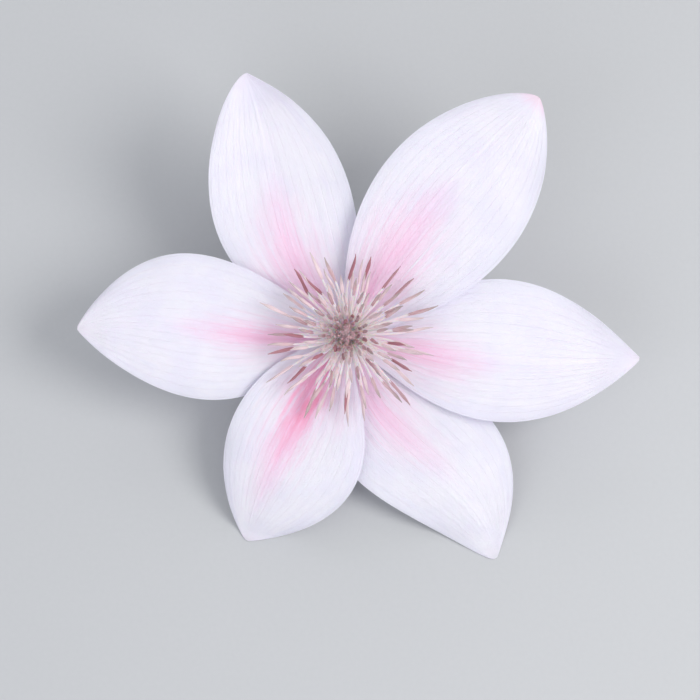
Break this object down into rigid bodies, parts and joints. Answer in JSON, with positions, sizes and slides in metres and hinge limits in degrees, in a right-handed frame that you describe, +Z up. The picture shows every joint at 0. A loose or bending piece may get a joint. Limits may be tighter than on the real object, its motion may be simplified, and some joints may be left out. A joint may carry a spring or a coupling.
{
  "type": "clematis flower",
  "caption": "Picked clematis flower lying face up: broad pointed white sepals with rose bars, a boss of stamens and a short bent stalk.",
  "frame": {"origin": "on the surface the flower lies on, at the middle of its box seen from above", "axes": "+Z up from the surface, +X to the right as the flower is seen face on, +Y towards the upper sepals and the cut end of the stalk; the face leans towards -Y"},
  "size_m": [0.1275, 0.1061, 0.0426],
  "materials": {
    "sepal": "satin",
    "stamen": "matte",
    "pistil": "matte",
    "stalk": "matte"
  },
  "bodies": {
    "root": {"stalk": "stalk", "sepal_1": "sepal", "sepal_2": "sepal", "sepal_3": "sepal", "sepal_4": "sepal", "sepal_5": "sepal", "sepal_6": "sepal", "stamens": "stamen", "pistils": "pistil"}
  },
  "joints": []
}
